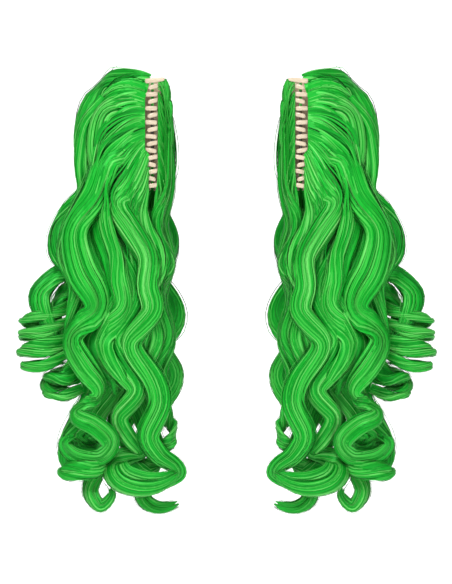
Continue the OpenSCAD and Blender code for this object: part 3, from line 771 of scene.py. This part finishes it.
def clump_parts(shape, count, density, hair, rng):
    """A lock's clumps: each has a core, flattened strands, fine strands and flyaways."""
    shape = spaced(shape)
    # Count, least and most depth, width, how early they may end, wander and relief
    kinds = (
        (int(hair.ribbon_strands * density), 0.93, 1.0, hair.strand_width, 0.03, 0.04, 0.22),
        (int(hair.fine_strands * density), 1.0, 1.06, FINE_WIDTH, 0.03, 0.08, 0.22),
        (FLYAWAYS, 1.08, 1.35, FINE_WIDTH, 0.08, 0.15, 1.0),
    )
    parts = []
    for clump in clump_shapes(shape, count, hair.twist, rng):
        early = rng.uniform(0, 0.02)
        sets = [strand_set(rng, *kind[:5]) for kind in kinds]
        for strands in sets:
            strands["end"] -= early
            strands["tone"] += 0.5 * rng.normal()
        parts.append(grow_core(clump))
        parts += [grow_strands(clump, strands, *kind[5:]) for strands, kind in zip(sets, kinds)]
    return parts


def flat_strands(rng, centre, length, outward, width, wide, thin, wisp=0.0, spread=1.0):
    """Single flat strands along given centre lines.

    The wide side faces outward, as nearly as the heading allows. Half of a strand's width and
    thickness are drawn between two sizes each and scaled along its run by the width given. A
    wisp is a slow sine wave from strand to strand that turns the shading and shifts the tone.
    """
    heading = unit(np.gradient(centre, axis=1))
    outward = square_to(outward, heading)
    side = np.cross(heading, outward)
    wide, thin = ((rng.uniform(*sizes, (len(centre), 1)) * width)[..., None, None]
                  for sizes in (wide, thin))
    cosine, sine = np.cos(CORNER)[:, None], np.sin(CORNER)[:, None]
    rim = side[:, :, None] * wide * cosine + outward[:, :, None] * thin * sine
    lean = 0.3 * cosine + 0.35 * np.reshape(np.sin(wisp * WISPS), (-1, 1, 1, 1))
    normals = unit(outward[:, :, None] + side[:, :, None] * lean)
    tone = (spread * rng.normal(0, 1, len(centre))
            + 0.9 * np.sin(wisp * WISPS) + 0.5 * np.sin(wisp * FINE_WISPS))
    return ((centre[:, :, None] + rim).reshape(-1, 3), normals.reshape(-1, 3), length,
            np.repeat(tone, centre.shape[1] * STRAND_SIDES))


def cap_mesh(name, hair, mirror):
    """The combed layer that leaves the whole front edge of the fixed jaw.

    A strand's root height picks two neighbouring locks. The strand keeps the same share of the
    way between their centre lines for all its run, and rises off them as far as it runs.
    Neighbouring strands gather into wisps along two slow sine waves.
    """
    rng = np.random.default_rng(7)
    curves = [lock_curve(lock_named(key)) for key in WRAPPED_STARTS]
    curves += [strand_curve(points, RING_STEPS) for owner, _, points in EXTRA
               if owner == "cheek_lock"]
    lines, heights = [], []
    for curve, out in curves:
        line = lock_frame(curve, out, False, hair)[0]
        at = np.interp(np.linspace(0, CAP_RUN, CAP_ROWS), run_length(line),
                       np.arange(len(line)))
        lines.append(sample(line, at))
        heights.append(line[0, 2])
    lines, heights = np.array(lines), np.array(heights)
    count = CAP_STRANDS * len(CAP_LIFTS)
    root_z = np.tile(np.linspace(*CAP_ROOTS, CAP_STRANDS), len(CAP_LIFTS))
    root_z = root_z + rng.uniform(-0.0006, 0.0006, count)
    spot = np.interp(-root_z, -heights, np.arange(len(lines)))
    gather = 0.10 * np.sin(spot * WISPS) + 0.05 * np.sin(spot * FINE_WISPS + 1)
    t = np.linspace(0, 1, CAP_RINGS)[None, :]
    reach = rng.uniform(0.06, 0.14, count)[:, None]
    s = reach * t + 1.6 * np.maximum(root_z - 0.0555, 0)[:, None]
    where = np.clip(spot[:, None] + gather[:, None] * smoothstep(s / 0.05), 0, len(lines) - 1)
    low = np.clip(where.astype(int), 0, len(lines) - 2)
    share = (where - low)[..., None]
    at = s / CAP_RUN * (CAP_ROWS - 1)
    row = np.clip(at.astype(int), 0, CAP_ROWS - 2)
    part = (at - row)[..., None]
    a, b = (lines[i, row] * (1 - part) + lines[i, row + 1] * part for i in (low, low + 1))
    centre = a * (1 - share) + b * share
    over = (root_z - np.interp(spot, np.arange(len(lines)), heights))[:, None]
    centre[..., 2] += over * (1 - smoothstep(s / 0.06))
    lift = np.repeat(CAP_LIFTS, CAP_STRANDS)[:, None]
    ripple = 0.0012 * np.sin(spot[:, None] * WISPS + s * 60)
    sink = smoothstep((t - 0.6) / 0.4) * 0.007
    centre[..., 1] -= (lift + ripple) * smoothstep(s / 0.03) + 0.0012 * smoothstep(s / 0.05) - sink
    centre[..., 1] += 0.010 * smoothstep((root_z[:, None] - 0.052) / 0.006) * smoothstep(s / 0.04)
    width = taper(t, 0.5, 0.08, 0.15, 0.7)
    strands = flat_strands(rng, centre, s, FORWARD, width, (0.0006, 0.0012), (0.0002, 0.0003),
                           spot, 0.8)
    return assemble(name, [strands], mirror)


def fringe_mesh(name, hair, mirror):
    """Short strands that come off the front edge of the swinging jaw and join its front lock.

    Each strand follows the lock, shifted to its own root on the jaw's edge. The shift fades out
    smoothly as the strand runs down.
    """
    rng = np.random.default_rng(99)
    curve, out = lock_curve(lock_named("fringe_lock"))
    line, across, _ = lock_frame(curve, out, True, hair)
    length = run_length(line)
    count = FRINGE_STRANDS
    t = np.linspace(0, 1, FRINGE_RINGS)
    root_z = np.linspace(*FRINGE_ROOTS, count) + rng.uniform(-0.001, 0.001, count)
    first = np.interp(-(root_z - 0.012), -line[:, 2], length)
    run = rng.uniform(0.055, 0.095, count)[:, None] * t
    along = first[:, None] + run
    at = np.interp(along, length, np.arange(len(line)))
    centre = sample(line, at)
    root = np.stack([*(np.full(count, at_edge) for at_edge in FRINGE_EDGE), root_z], 1)
    fade = 1 - smoothstep(run / FRINGE_JOIN)
    spread = rng.uniform(-1, 1, (count, 1)) * 0.0034
    lift = rng.uniform(0.2, 1.0, (count, 1)) * 0.0024
    centre = centre + sample(across, at) * (spread * (1 - fade))[..., None]
    centre[..., 1] -= lift * (1 - fade)
    centre += (root[:, None] - centre[:, :1]) * fade[..., None]
    strands = flat_strands(rng, centre, along, centre * (1, 1, 0), taper(t, 0.5, 0.1, 0.15, 0.7),
                           (0.0005, 0.0010), (0.0002, 0.0003))
    return assemble(name, [strands, side_cover(rng)], mirror)


def side_cover(rng):
    """Strands that hang from the moving jaw's three tracks, close to its round outside.

    A strand's height falls evenly with its run while its angle spreads away from the track.
    Its radius grows by its layer, and shrinks again below the jaw on a smooth step.
    """
    count = COVER_STRANDS * len(COVER_SPREADS)
    track, least, most = (np.radians(np.repeat(column, COVER_STRANDS))
                          for column in zip(*COVER_SPREADS))
    top = np.tile(np.linspace(0.052, -0.050, COVER_STRANDS), len(COVER_SPREADS))
    top = (top + rng.uniform(-0.001, 0.001, count))[:, None]
    bottom = -0.060 - rng.uniform(0, 0.020, (count, 1))
    t = np.linspace(0, 1, COVER_RINGS)[None, :] ** 1.3
    run = (top - bottom) * t
    spread = (least + (most - least) * rng.uniform(0, 1, count))[:, None]
    sway = 0.06 * np.sin(run * 70 + rng.uniform(0, 1.5, (count, 1)))
    angle = track[:, None] + spread * smoothstep(run / 0.018) + sway
    layer = rng.uniform(0.0008, 0.0026, (count, 1))
    below = smoothstep((-0.050 - (top - run)) / 0.030)
    radius = (COVER_RADIUS + layer * smoothstep(run / 0.008)) * (1 - 0.30 * below)
    centre = np.stack([radius * np.cos(angle), radius * np.sin(angle), top - run], -1)
    return flat_strands(rng, centre, run, unit(centre * (1, 1, 0)),
                        taper(t, 0.5, 0.05, 0.2, 0.75), (0.0010, 0.0016), (0.0003, 0.0004))


def assemble(name, parts, mirror):
    """Joins groups of tubes into one mesh object, mirrored for the right-hand pigtail."""
    vertices, normals, faces, uvs, tones, count, strand = [], [], [], [], [], 0, 0
    for points, facing, lengths, tone in parts:
        tubes, rings = lengths.shape
        sides = len(points) // lengths.size
        for corners, places in zip(tube_faces(tubes, rings, sides),
                                   tube_uvs(lengths, np.arange(tubes) + strand, sides)):
            if mirror:
                corners, places = turned(corners), turned(places)
            faces.append(corners + count)
            uvs.append(places.reshape(-1, 2))
        vertices.append(points)
        normals.append(facing)
        tones.append(tone)
        count += len(points)
        strand += tubes + STRAND_GAP
    vertices, normals = np.concatenate(vertices), np.concatenate(normals)
    if mirror:
        vertices[:, 0] = PAIR_GAP - vertices[:, 0]
        normals[:, 0] *= -1
    made = new_object(name, vertices, faces, np.concatenate(uvs), np.concatenate(tones))
    made.data.normals_split_custom_set_from_vertices(normals)
    return made


def turned(corners):
    """Each face's corners in the opposite order, from the same first corner.

    A quad then splits along the same diagonal as its mirror image.
    """
    return np.roll(corners[:, ::-1], 1, axis=1)


# Materials


def node_material(name):
    """Two calls that build a material: add makes a node, and finish fills the shader's inputs.

    An input that is another node's output is linked to it. An underscore in an input's name
    stands for a space, and a number after one picks an input by its place.
    """
    material = bpy.data.materials.new(name)
    material.use_nodes = True
    tree = material.node_tree

    def fill(node, inputs):
        """Sets or links a node's inputs."""
        for key, value in inputs.items():
            socket = node.inputs[int(key[1:]) if key[0] == "_" else key.replace("_", " ")]
            if isinstance(value, bpy.types.NodeSocket):
                tree.links.new(value, socket)
            else:
                socket.default_value = value

    def add(kind, settings=None, **inputs):
        """A new node with its settings and inputs."""
        node = tree.nodes.new("ShaderNode" + kind)
        for key, value in (settings or {}).items():
            setattr(node, key, value)
        fill(node, inputs)
        return node

    def finish(**inputs):
        """The material, with its shader's inputs filled."""
        fill(tree.nodes["Principled BSDF"], inputs)
        return material

    return add, finish


def colour_ramp(node, *stops):
    """Sets a ramp's stops from pairs of place and colour, and gives its colour output."""
    ramp = node.color_ramp
    while len(ramp.elements) > 1:
        ramp.elements.remove(ramp.elements[-1])
    ramp.elements[0].position, ramp.elements[0].color = stops[0][0], (*stops[0][1], 1)
    for place, colour in stops[1:]:
        ramp.elements.new(place).color = (*colour, 1)
    return node.outputs["Color"]


def hair_material(hair):
    """Glossy synthetic fibre: every strand has its own tone, with fine streaks along it.

    The gloss spreads round a strand far more than along it, and painted shade darkens the colour
    where locks lie close over each other.
    """
    add, finish = node_material("synthetic_hair")
    place = add("UVMap", {"uv_map": "strands"}).outputs["UV"]
    stretch = add("Mapping", Vector=place, Scale=(5.0, 16.0, 1.0)).outputs["Vector"]
    streak = add("TexNoise", Vector=stretch, Scale=1.0, Detail=3.0, Roughness=0.6).outputs["Fac"]
    # The tone holds each strand's random tone and the painted shade of clump cores and inner
    # strands.
    tone = add("Attribute", {"attribute_name": "tone"}).outputs["Fac"]
    blend = add("Math", {"operation": "MULTIPLY_ADD"}, _0=tone, _1=0.11, _2=streak)
    # The ramp's bright end is partly a painted highlight.
    colour = colour_ramp(add("ValToRGB", Fac=blend.outputs[0]), (0.12, hair.deep),
                         (0.50, hair.middle), (0.94, hair.bright))
    # Painted shade: an occlusion node darkens the base colour where hair lies close over hair.
    hollow = add("AmbientOcclusion", {"samples": 6}, Color=colour, Distance=0.012)
    shade = add("MapRange", Value=hollow.outputs["AO"], From_Min=0.05, From_Max=0.68,
                To_Min=0.16, To_Max=1.0).outputs["Result"]
    darken = add("VectorMath", {"operation": "SCALE"}, _0=colour, Scale=shade)
    rough = add("MapRange", Value=streak, From_Min=0.3, From_Max=0.7, To_Min=0.34, To_Max=0.48)
    bump = add("Bump", Height=streak, Strength=0.35, Distance=0.0002)
    tangent = add("Tangent", {"direction_type": "UV_MAP", "uv_map": "strands"})
    return finish(
        Base_Color=darken.outputs["Vector"], Roughness=rough.outputs["Result"],
        Normal=bump.outputs["Normal"], Tangent=tangent.outputs["Tangent"], Anisotropic=0.8,
        Specular_IOR_Level=0.9, Specular_Tint=(0.14, 1.0, 0.20, 1.0))


def plastic_material(clip):
    """Cream moulded plastic with faint flow marks and fine dimples, and painted shade that darkens
    it to brown in its hollows.
    """
    add, finish = node_material("moulded_plastic")
    place = add("TexCoord").outputs["Object"]
    flow = add("TexNoise", Vector=place, Scale=60.0, Detail=4.0, Roughness=0.5).outputs["Fac"]
    colour = colour_ramp(add("ValToRGB", Fac=flow), (0.3, tuple(0.86 * c for c in clip.plastic)),
                         (0.7, clip.plastic))
    # Painted shade: an occlusion node darkens the plastic to brown where it lies close to other
    # parts.
    hollow = add("AmbientOcclusion", {"samples": 8}, Distance=0.010).outputs["AO"]
    shade = colour_ramp(add("ValToRGB", Fac=hollow), (0.25, (0.10, 0.045, 0.02)),
                        (0.65, (1, 1, 1)))
    darken = add("VectorMath", {"operation": "MULTIPLY"}, _0=colour, _1=shade)
    grain = add("TexNoise", Vector=place, Scale=900.0, Detail=2.0).outputs["Fac"]
    rough = add("MapRange", Value=flow, From_Min=0.35, From_Max=0.65, To_Min=0.24, To_Max=0.4)
    bump = add("Bump", Height=grain, Strength=0.12, Distance=0.0002)
    return finish(
        Base_Color=darken.outputs["Vector"], Roughness=rough.outputs["Result"],
        Normal=bump.outputs["Normal"], Subsurface_Weight=0.12,
        Subsurface_Radius=(0.004, 0.003, 0.002), Coat_Weight=0.15)


def cloth_material(name, colour, thread_pitch):
    """Woven tape or thread: two crossing sets of fine ribs in the object's own space."""
    add, finish = node_material(name)
    place = add("TexCoord").outputs["Object"]
    ribs = [add("TexWave", {"bands_direction": direction}, Vector=place,
                Scale=0.35 / thread_pitch, Distortion=0.6, Detail=1.0).outputs["Fac"]
            for direction in ("Z", "DIAGONAL")]
    weave = add("Math", {"operation": "MULTIPLY"}, _0=ribs[0], _1=ribs[1]).outputs[0]
    shade = colour_ramp(add("ValToRGB", Fac=weave), (0.0, tuple(0.45 * c for c in colour)),
                        (0.6, colour))
    bump = add("Bump", Height=weave, Strength=0.6, Distance=0.0002)
    return finish(Base_Color=shade, Normal=bump.outputs["Normal"], Roughness=0.75,
                  Sheen_Weight=0.25)


def steel_material(name, shade, roughness):
    """Drawn steel wire with fine lengthwise marks."""
    add, finish = node_material(name)
    place = add("TexCoord").outputs["Object"]
    stretch = add("Mapping", Vector=place, Scale=(900.0, 900.0, 60.0)).outputs["Vector"]
    marks = add("TexNoise", Vector=stretch, Scale=1.0, Detail=2.0).outputs["Fac"]
    rough = add("MapRange", Value=marks, To_Min=roughness * 0.7, To_Max=roughness * 1.4)
    colour = colour_ramp(add("ValToRGB", Fac=marks), (0.3, (shade * 0.8,) * 3),
                         (0.7, (shade,) * 3))
    return finish(Base_Color=colour, Roughness=rough.outputs["Result"], Metallic=1.0)


def stage_material():
    """Plain white painted floor and wall."""
    add, finish = node_material("studio_white")
    mottle = add("TexNoise", Vector=add("TexCoord").outputs["Object"], Scale=3.0, Detail=2.0)
    colour = colour_ramp(add("ValToRGB", Fac=mottle.outputs["Fac"]), (0.3, (0.88,) * 3),
                         (0.7, (0.91,) * 3))
    return finish(Base_Color=colour, Roughness=0.9, Emission_Color=(1, 1, 1, 1),
                  Emission_Strength=0.5)


def dress(obj, material):
    """Gives an object one material and drops any that it had."""
    obj.data.materials.clear()
    obj.data.materials.append(material)


def rides_on(side, moving):
    """The name of the frame's body for one side's fixed or moving pieces."""
    return f"{side}_{'swing_jaw' if moving else 'pigtail'}"


def settle(piece, material, body, slot, *nodes):
    """Gives a new piece its material and body, and hides the frame nodes it stands for. Its slot
    is not used.
    """
    dress(piece, material)
    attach(piece, body)
    if nodes:
        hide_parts(*nodes)


# Operators, one per group of like pieces


class PIGTAIL_OT_jaws(bpy.types.Operator):
    """Round the edges of the clip jaws and give them their plastic"""

    bl_idname = "pigtail.jaws"
    bl_label = "Clip Jaws"

    def execute(self, context):
        clip = context.scene.pigtail_clip
        material = plastic_material(clip)
        for side in SIDES:
            for moving in (False, True):
                node = f"{side}_{'moving' if moving else 'fixed'}_jaw"
                piece = rounded_copy(frame["nodes"][node], f"{node}_moulding", clip.edge_round,
                                     moving, side == "right")
                settle(piece, material, rides_on(side, moving), "clip_plastic", node)
        return {"FINISHED"}


def jaw_teeth(moving, mirror):
    """The teeth of one jaw as fingers with round tips and soft, nearly oval sections.

    A finger follows the tunnel's circle round the front. The top one leaves it for a straight
    line at the circle's foremost point. Its section is a circle's cosine and sine to one power,
    shrunk by a quarter circle at the tip. Rings stand closer towards the tip.
    """
    end, z_first, z_last, reach_first, reach_last, lean_first, lean_last, count = TEETH[moving]
    heights = np.linspace(z_first, z_last, count)
    reaches = np.linspace(reach_first, reach_last, count)
    leans = np.linspace(lean_first, lean_last, count)
    tall = np.full(count, TOOTH_TALL_MM)
    straight = np.zeros(count, bool)
    if not moving:
        heights, reaches, leans, tall = (np.append(row, top) for row, top in zip(
            (heights, reaches, leans, tall), TOP_TOOTH))
        straight = np.append(straight, True)
    foremost = 1.5 * math.pi
    start = math.radians(end - TOOTH_OVERLAP)
    finish = np.where(straight, foremost + reaches / TOOTH_R_MM,
                      foremost + np.arcsin(np.clip(reaches / TOOTH_R_MM, -1, 1)))
    t = 1 - (1 - np.linspace(0, 1, TOOTH_RINGS)) ** 1.6
    angle = start + (finish[:, None] - start) * t
    bent = np.where(straight[:, None], np.minimum(angle, foremost), angle)
    past = (angle - bent) * TOOTH_R_MM
    radial = np.stack([np.cos(bent), np.sin(bent), np.zeros_like(bent)], -1)
    along = np.stack([-np.sin(bent), np.cos(bent), np.zeros_like(bent)], -1)
    centre = radial * TOOTH_R_MM + along * past[..., None]
    centre[..., 2] = heights[:, None] + leans[:, None] * centre[..., 0]
    left = (1 - t) * (finish[:, None] - start) * TOOTH_R_MM
    tip = np.sqrt(1 - (1 - np.clip(left / TOOTH_TIP_MM, 0.02, 1)) ** 2)
    size = (tip * (1 - 0.3 * straight[:, None] * t))[..., None, None]
    corner = np.arange(TOOTH_SIDES) * 2 * math.pi / TOOTH_SIDES
    cosine, sine = (np.sign(c)[:, None] * np.abs(c)[:, None] ** TOOTH_SQUARE
                    for c in (np.cos(corner), np.sin(corner)))
    vertices = (centre[:, :, None] + radial[:, :, None] * TOOTH_THICK_MM * size * cosine
                + UP * tall[:, None, None, None] * size * sine).reshape(-1, 3) * MM
    faces = list(tube_faces(len(heights), TOOTH_RINGS, TOOTH_SIDES))
    if moving:
        vertices[:, 0] *= -1
    if mirror:
        vertices[:, 0] = PAIR_GAP - vertices[:, 0]
    if moving != mirror:
        faces = [turned(part) for part in faces]
    return new_object("teeth", vertices, faces)


def merged(source):
    """A frame node's mesh with its loose triangles joined, ready to be worked on."""
    shell = bmesh.new()
    shell.from_mesh(source.data)
    bmesh.ops.remove_doubles(shell, verts=shell.verts, dist=MERGE_GAP)
    return shell


def smooth_piece(shell, name):
    """A new object from a worked mesh, shaded smooth except along its sharp edges."""
    mesh = bpy.data.meshes.new(name)
    shell.to_mesh(mesh)
    shell.free()
    mesh.polygons.foreach_set("use_smooth", np.full(len(mesh.polygons), True))
    mesh.set_sharp_from_angle(angle=SHARP_ANGLE)
    return placed(name, mesh)


def rounded_copy(source, name, radius, moving, mirror):
    """A merged copy of a jaw with a rounded front edge and full, rounded teeth.

    A plane through the tunnel's axis takes off the frame's flat teeth where the plate ends.
    """
    shell = merged(source)
    bmesh.ops.dissolve_limit(shell, angle_limit=math.radians(1), verts=shell.verts,
                             edges=shell.edges)
    end = math.radians(TEETH[moving][0] - CUT_MARGIN)
    flip = -1 if moving != mirror else 1
    bmesh.ops.bisect_plane(shell, geom=[*shell.verts, *shell.edges, *shell.faces],
                           plane_co=(PAIR_GAP if mirror else 0, 0, 0),
                           plane_no=(-math.sin(end) * flip, math.cos(end), 0),
                           clear_outer=True)
    bmesh.ops.holes_fill(shell, edges=[e for e in shell.edges if e.is_boundary], sides=0)
    front = [edge for edge in shell.edges
             if len(edge.link_faces) == 2 and max(v.co.y for v in edge.verts) < FRONT_EDGE_Y
             and edge.is_convex and edge.calc_face_angle() > ROUNDED_ANGLE]
    bmesh.ops.bevel(shell, geom=front, offset=radius, segments=3, profile=0.5,
                    affect="EDGES", clamp_overlap=False)
    teeth = jaw_teeth(moving, mirror)
    shell.from_mesh(teeth.data)
    bpy.data.objects.remove(teeth)
    return smooth_piece(shell, name)


class PIGTAIL_OT_hardware(bpy.types.Operator):
    """Give the hinge pins and torsion springs their steel"""

    bl_idname = "pigtail.hardware"
    bl_label = "Pins and Springs"

    def execute(self, context):
        pin = steel_material("pin_wire", 0.72, 0.28)
        wire = steel_material("spring_wire", 0.55, 0.32)
        for side in SIDES:
            dress(frame["nodes"][f"{side}_hinge_pin"], pin)
            node = f"{side}_spring"
            piece = smooth_piece(merged(frame["nodes"][node]), f"{node}_coil")
            dress(piece, wire)
            rides_on(side, False)
            rides_on(side, True)
            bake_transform(piece)
            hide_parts(node)
        return {"FINISHED"}


class PIGTAIL_OT_trimmings(bpy.types.Operator):
    """Give the ribbons, weft tapes and stitches their cloth"""

    bl_idname = "pigtail.trimmings"
    bl_label = "Ribbons and Stitches"

    def execute(self, context):
        clip = context.scene.pigtail_clip
        hair = context.scene.pigtail_hair
        cloths = {
            "ribbon": cloth_material("ribbon_weave", clip.ribbon, 0.0008),
            "wefts": cloth_material("weft_tape", hair.deep, 0.0010),
            "stitches": cloth_material("sewing_thread", clip.thread, 0.0005),
        }
        for side in SIDES:
            for jaw in ("fixed", "moving"):
                for kind, material in cloths.items():
                    dress(frame["nodes"][f"{side}_{jaw}_{kind}"], material)
        return {"FINISHED"}


class PIGTAIL_OT_locks(bpy.types.Operator):
    """Grow every hair lock along its route, in place of its stand-in solid"""

    bl_idname = "pigtail.locks"
    bl_label = "Hair Locks"

    def execute(self, context):
        hair = context.scene.pigtail_hair
        material = hair_material(hair)
        for seed, lock in enumerate(LOCKS):
            for side in SIDES:
                node = f"{side}_{lock[0]}"
                piece = bundle_mesh(f"{node}_hair", lock, seed, hair, side == "right")
                settle(piece, material, rides_on(side, lock[4]), "hair", node)
        for side in SIDES:
            for grow, name, moving in ((cap_mesh, "cap", False), (fringe_mesh, "edge", True)):
                piece = grow(f"{side}_{name}_hair", hair, side == "right")
                settle(piece, material, rides_on(side, moving), "hair")
        return {"FINISHED"}


class PIGTAIL_OT_stage(bpy.types.Operator):
    """Set up the camera, floor, backdrop and lights"""

    bl_idname = "pigtail.stage"
    bl_label = "Stage"

    def execute(self, context):
        settings = context.scene.pigtail_stage
        low, high = CAD_BOX
        self.camera(context.scene, low)
        self.backdrop(low, settings)
        self.lights((low + high) / 2, settings)
        self.room(context.scene, settings)
        return {"FINISHED"}

    def camera(self, scene, low):
        """A long lens straight in front, framing the pair with even margins."""
        data = bpy.data.cameras.new("camera")
        data.lens, data.sensor_width, data.clip_end = 130, 36, 50
        distance = VIEW_HEIGHT * data.lens / data.sensor_width
        camera = placed("camera", data)
        camera.location = (PAIR_GAP / 2 - 0.0005, low.y + 0.03 - distance, VIEW_MIDDLE_Z)
        camera.rotation_euler = (math.pi / 2, 0, 0)
        scene.camera = camera

    def backdrop(self, low, settings):
        """One sheet: a floor that curves up into a wall, as a quarter circle joins two lines."""
        floor = low.z - settings.floor_drop
        bend = np.linspace(0, math.pi / 2, 17)
        radius, wall = 1.2, 3.6
        y = np.concatenate([[-6.0], wall - radius + radius * np.sin(bend), [wall]])
        z = np.concatenate([[0.0], radius - radius * np.cos(bend), [4.0]]) + floor
        x = np.array([-7.0, 7.0]) + PAIR_GAP / 2
        grid = np.stack([np.repeat(x[None], len(y), 0), np.repeat(y[:, None], 2, 1),
                         np.repeat(z[:, None], 2, 1)], -1).reshape(-1, 3)
        i = np.arange(len(y) - 1)[:, None] * 2
        sheet = new_object("backdrop", grid, [i + np.array([[0, 1, 3, 2]])])
        dress(sheet, stage_material())
        sheet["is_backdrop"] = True

    def lights(self, middle, settings):
        """A broad key from the upper left, a weaker fill and a soft light from above."""
        for name, offset, size, share in (
            ("key", (-0.5, -1.5, 1.5), 0.9, 1.0),
            ("fill", (0.9, -1.9, 0.2), 1.2, 0.22),
            ("top", (0.1, 0.5, 1.3), 0.9, 0.3),
        ):
            data = bpy.data.lights.new(name, "AREA")
            data.size = size
            data.energy = settings.key_power * share
            lamp = placed(name, data)
            lamp.location = middle + Vector(offset)
            lamp.rotation_euler = (-Vector(offset)).to_track_quat("-Z", "Y").to_euler()

    def room(self, scene, settings):
        """An even white room: it lights the pieces weakly, and the camera sees it as white."""
        world = bpy.data.worlds.new("room")
        world.use_nodes = True
        tree = world.node_tree
        sky = tree.nodes["Background"]
        sky.inputs["Color"].default_value = (1, 1, 1, 1)
        strength = tree.nodes.new("ShaderNodeMath")
        strength.operation = "MULTIPLY_ADD"
        strength.inputs[1].default_value = 1 - settings.world_light
        strength.inputs[2].default_value = settings.world_light
        seen = tree.nodes.new("ShaderNodeLightPath").outputs["Is Camera Ray"]
        tree.links.new(seen, strength.inputs[0])
        tree.links.new(strength.outputs[0], sky.inputs["Strength"])
        scene.world = world
        scene.view_settings.view_transform = "Standard"


class PIGTAIL_PT_panel(bpy.types.Panel):
    """Lists the steps that dress the pigtails"""

    bl_label = "Costume Pigtails"
    bl_idname = "PIGTAIL_PT_panel"
    bl_space_type = "VIEW_3D"
    bl_region_type = "UI"
    bl_category = "Pigtails"

    def draw(self, context):
        layout = self.layout
        for name, settings in SETTINGS.items():
            box = layout.box()
            group = getattr(context.scene, name)
            for key in settings.__annotations__:
                box.prop(group, key)
        for step in STEPS:
            layout.operator(step.bl_idname)


SETTINGS = {
    "pigtail_hair": HairSettings,
    "pigtail_clip": ClipSettings,
    "pigtail_stage": StageSettings,
}
STEPS = (PIGTAIL_OT_stage, PIGTAIL_OT_jaws, PIGTAIL_OT_hardware, PIGTAIL_OT_trimmings,
         PIGTAIL_OT_locks)


def register():
    """Registers the settings, operators and panel."""
    for item in (*SETTINGS.values(), *STEPS, PIGTAIL_PT_panel):
        bpy.utils.register_class(item)
    for name, settings in SETTINGS.items():
        setattr(bpy.types.Scene, name, PointerProperty(type=settings))


def unregister():
    """Removes what register added."""
    for name in SETTINGS:
        delattr(bpy.types.Scene, name)
    for item in (PIGTAIL_PT_panel, *reversed(STEPS), *SETTINGS.values()):
        bpy.utils.unregister_class(item)


def main():
    """Runs every step in order."""
    register()
    bpy.ops.pigtail.stage()
    bpy.ops.pigtail.jaws()
    bpy.ops.pigtail.hardware()
    bpy.ops.pigtail.trimmings()
    bpy.ops.pigtail.locks()
    sizes = {name: [list(corner) for corner in box]
             for name, box in (("cad", CAD_BOX), ("visual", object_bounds()))}


if __name__ == "__main__":
    main()
